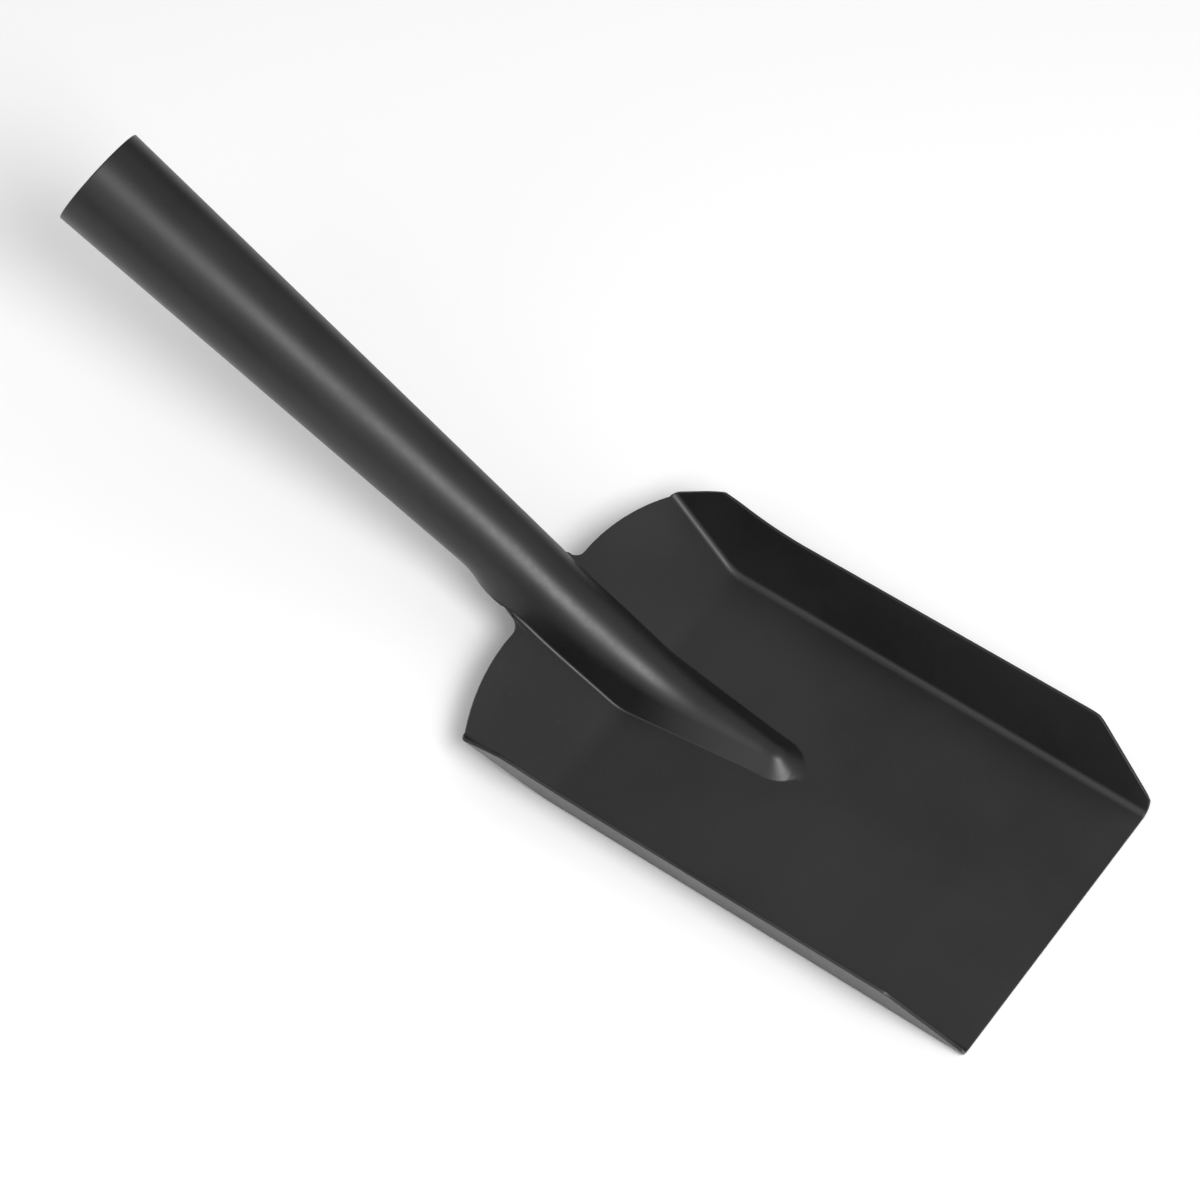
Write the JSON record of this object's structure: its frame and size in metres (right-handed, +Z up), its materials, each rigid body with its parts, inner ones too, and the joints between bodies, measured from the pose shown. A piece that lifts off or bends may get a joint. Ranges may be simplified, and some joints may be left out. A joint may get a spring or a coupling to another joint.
{
  "type": "scoop shovel",
  "caption": "One-handed scoop shovel with a flat-floored pan, flared side walls, a raised centre rib and a rolled tubular handle, for grain, feed, coal or ash.",
  "frame": {"origin": "on the underside of the flat floor, midway between the crease and the mouth, on the plane of symmetry", "axes": "+X forward out of the mouth, +Y to the left, +Z up, away from the surface the pan rests on"},
  "size_m": [0.3917, 0.1314, 0.1185],
  "materials": {
    "black_paint": "satin black powder coat",
    "painted_weld": "satin black powder coat over weld"
  },
  "bodies": {
    "root": {"pan": "black_paint", "handle": "black_paint", "seam_tack_welds": "painted_weld"}
  },
  "joints": []
}
